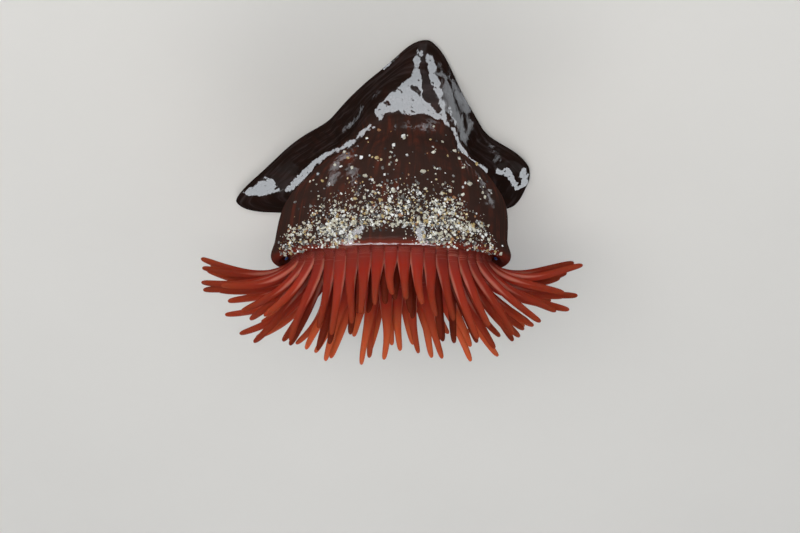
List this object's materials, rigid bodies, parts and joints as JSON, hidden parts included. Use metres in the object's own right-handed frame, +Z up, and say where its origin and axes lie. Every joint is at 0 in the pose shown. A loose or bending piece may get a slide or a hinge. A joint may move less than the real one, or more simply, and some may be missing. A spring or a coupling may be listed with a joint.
{
  "type": "beadlet anemone",
  "caption": "Life-size still model of a beadlet anemone: dark glossy leaning column on a wedge-shaped foot, with an open crown of blunt red tentacles round its mouth.",
  "frame": {"origin": "on the floor, at the middle of the flat underside of the foot", "axes": "+Z up, from the foot to the crown; +X across the crown's widest spread; the column is tall on its +Y side, so the mouth faces up and towards -Y"},
  "size_m": [0.0648, 0.0565, 0.0495],
  "materials": {
    "foot_skin": "wet, very dark red-brown skin, glossy",
    "column_skin": "wet, dark red-brown skin, glossy",
    "tentacle_flesh": "soft translucent orange-red flesh under water",
    "disc_flesh": "soft deep red flesh under water",
    "acrorhagi_blue": "bright blue soft beads",
    "sand_grains": "pale shell sand, damp"
  },
  "bodies": {
    "root": {"pedal_disc": "foot_skin", "column_foot": "foot_skin", "column_lower": "column_skin", "column_upper": "column_skin", "collar": "column_skin", "oral_disc": "disc_flesh", "mouth": "disc_flesh", "tentacles_01": "tentacle_flesh", "tentacles_02": "tentacle_flesh", "tentacles_03": "tentacle_flesh", "tentacles_04": "tentacle_flesh", "tentacles_05": "tentacle_flesh", "tentacles_06": "tentacle_flesh", "tentacles_07": "tentacle_flesh", "tentacles_08": "tentacle_flesh", "tentacles_09": "tentacle_flesh", "tentacles_10": "tentacle_flesh", "tentacles_11": "tentacle_flesh", "tentacles_12": "tentacle_flesh"}
  },
  "joints": []
}
